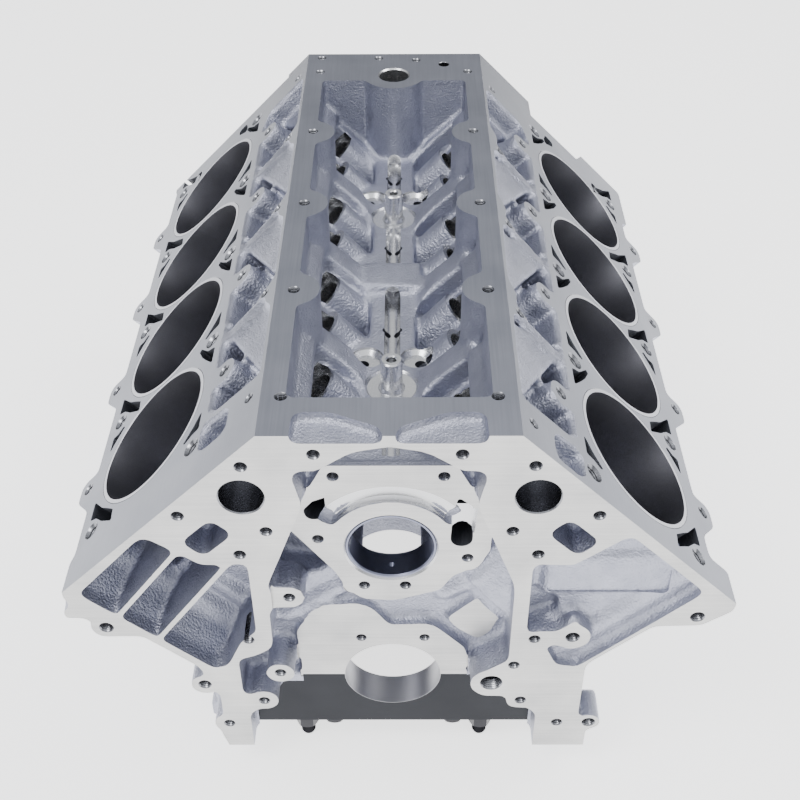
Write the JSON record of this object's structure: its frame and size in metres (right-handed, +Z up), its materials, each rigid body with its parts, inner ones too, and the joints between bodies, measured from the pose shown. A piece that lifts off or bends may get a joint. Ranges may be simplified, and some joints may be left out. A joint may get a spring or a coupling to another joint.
{
  "type": "engine block",
  "caption": "Bare V-type engine block casting with two banks of sleeved cylinders, a deep skirt, a lifter valley and bolted main caps.",
  "frame": {"origin": "crank axis at the machined front face", "axes": "+X towards the forward bank, +Y from the front face to the rear, +Z up towards the valley"},
  "size_m": [0.4574, 0.5231, 0.3414],
  "materials": {
    "cast_alloy": "sand-cast aluminium alloy with machined faces",
    "sleeve_iron": "honed ductile iron",
    "cap_steel": "machined steel billet, dark",
    "bolt_steel": "black oxide steel",
    "bush_metal": "babbitt-lined steel bush",
    "plug_metal": "pressed brass"
  },
  "bodies": {
    "root": {"block_casting": "cast_alloy", "liner_right_1": "sleeve_iron", "liner_right_2": "sleeve_iron", "liner_right_3": "sleeve_iron", "liner_right_4": "sleeve_iron", "liner_left_1": "sleeve_iron", "liner_left_2": "sleeve_iron", "liner_left_3": "sleeve_iron", "liner_left_4": "sleeve_iron", "main_cap_1": "cap_steel", "main_cap_2": "cap_steel", "main_cap_3": "cap_steel", "main_cap_4": "cap_steel", "main_cap_5": "cap_steel", "inner_main_bolts": "bolt_steel", "outer_main_nuts": "bolt_steel", "outer_main_studs": "bolt_steel", "side_bolts": "bolt_steel", "cam_bearings": "bush_metal", "cam_plug": "plug_metal", "gallery_plugs": "bolt_steel"}
  },
  "joints": []
}
